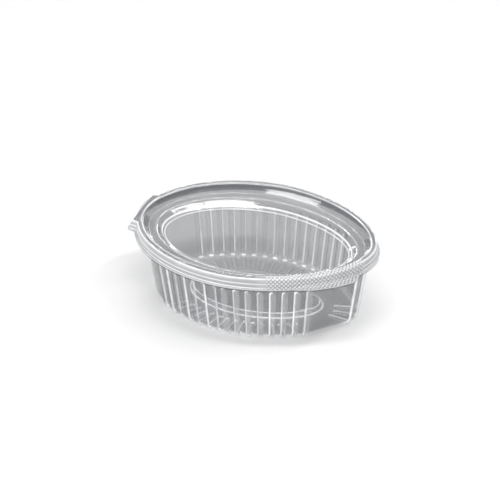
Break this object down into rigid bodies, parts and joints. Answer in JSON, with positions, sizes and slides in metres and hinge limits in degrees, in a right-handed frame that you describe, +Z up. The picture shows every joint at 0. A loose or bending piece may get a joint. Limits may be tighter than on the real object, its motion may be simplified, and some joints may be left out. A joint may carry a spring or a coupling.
{
  "type": "sauce cup with lid",
  "caption": "Clear oval sauce cup with fluted walls and an attached hinged lid, thermoformed as one folded sheet; the lid nests over the rim to close it.",
  "frame": {"origin": "middle of the footprint, midway between the fold and the tip of the nose, on the table plane", "axes": "+X along the oval from the fold towards the nose, +Y across it, +Z up through the lid"},
  "size_m": [0.1028, 0.077, 0.0332],
  "materials": {
    "tub": "clear glossy thermoformed film",
    "lid": "clear glossy thermoformed film"
  },
  "bodies": {
    "tub": {"tub": "tub"},
    "lid": {"lid": "lid"}
  },
  "joints": [
    {"name": "lid_fold", "type": "hinge", "parent": "tub", "child": "lid", "pos_m": [-0.0514, 0, 0.0285], "axis": [0, -1, 0], "range_deg": [0, 180]}
  ]
}
